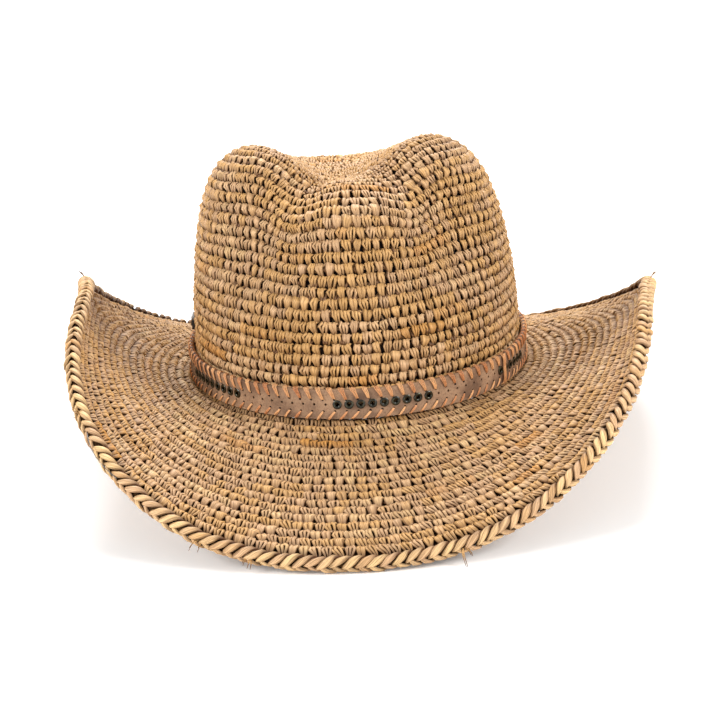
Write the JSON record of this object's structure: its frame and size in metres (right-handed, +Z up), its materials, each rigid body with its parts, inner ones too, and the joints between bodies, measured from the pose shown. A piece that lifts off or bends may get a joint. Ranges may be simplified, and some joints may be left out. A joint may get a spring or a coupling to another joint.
{
  "type": "cowboy hat",
  "caption": "Crocheted raffia cowboy hat with a creased crown, rolled wired brim and a perforated leather band laced along both edges.",
  "frame": {"origin": "centre of the footprint, on the surface that the brim's front and back rest on", "axes": "+Z up, the hat's front faces -Y, +X is the wearer's left"},
  "size_m": [0.3154, 0.4038, 0.1668],
  "materials": {
    "raffia": "matt crocheted raffia",
    "raffia_edging": "matt twisted raffia",
    "wire": "drawn wire",
    "metal_sleeve": "crimped",
    "sweat_cloth": "twill",
    "thread": "sewing thread",
    "leather": "fine-grained, satin",
    "lacing": "waxed cord",
    "dark_leather": "satin",
    "eyelet_metal": "dark lacquer"
  },
  "bodies": {
    "root": {"band_bottom_lacing": "lacing", "band_seam_wrap": "lacing", "band_tacks": "thread", "band_top_lacing": "lacing", "brim": "raffia", "brim_edging": "raffia_edging", "brim_wire": "wire", "crown": "raffia", "eyelet_single": "eyelet_metal", "eyelets_front": "eyelet_metal", "eyelets_left": "eyelet_metal", "eyelets_rear": "eyelet_metal", "eyelets_rear_left": "eyelet_metal", "eyelets_rear_right": "eyelet_metal", "eyelets_right": "eyelet_metal", "hat_band": "leather", "side_tab": "dark_leather", "side_tab_stitches": "thread", "sweatband": "sweat_cloth", "sweatband_stitches": "thread", "wire_sleeve": "metal_sleeve"}
  },
  "joints": []
}
